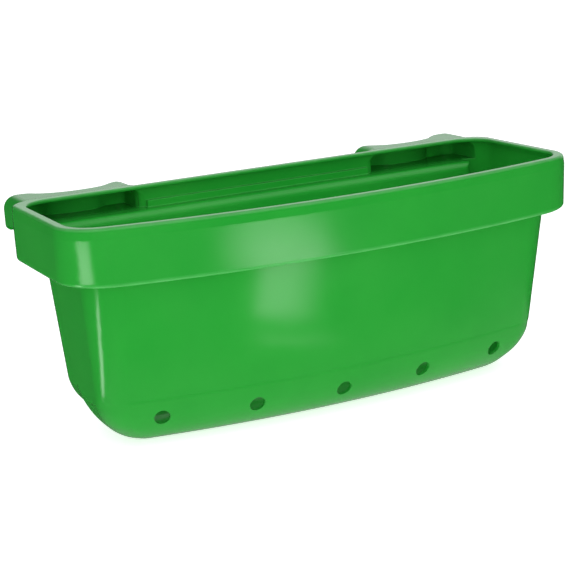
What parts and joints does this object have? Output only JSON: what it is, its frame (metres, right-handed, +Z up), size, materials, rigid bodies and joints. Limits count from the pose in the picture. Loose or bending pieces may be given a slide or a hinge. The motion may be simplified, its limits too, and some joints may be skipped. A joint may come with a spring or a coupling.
{
  "type": "trough feeder",
  "caption": "Hook-over feeding trough in moulded plastic: long tapered tub with a bowed front, raised rim band, hollow rear hooks for a rail or panel, and drain holes low in the front wall.",
  "frame": {"origin": "bottom centre of the whole feeder's box, in the plane of its flat base", "axes": "+X along the trough, -Y towards the bowed feeding side, +Y towards the hooks, +Z up"},
  "size_m": [0.61, 0.3006, 0.255],
  "materials": {
    "tub_plastic": "semi-gloss green polyethylene, slightly wavy as moulded",
    "collar_plastic": "semi-gloss green polyethylene with a pale cut inner edge",
    "hook_plastic": "semi-gloss green polyethylene"
  },
  "bodies": {
    "root": {"tub": "tub_plastic", "rim_collar": "collar_plastic", "left_hook": "hook_plastic", "right_hook": "hook_plastic"}
  },
  "joints": []
}
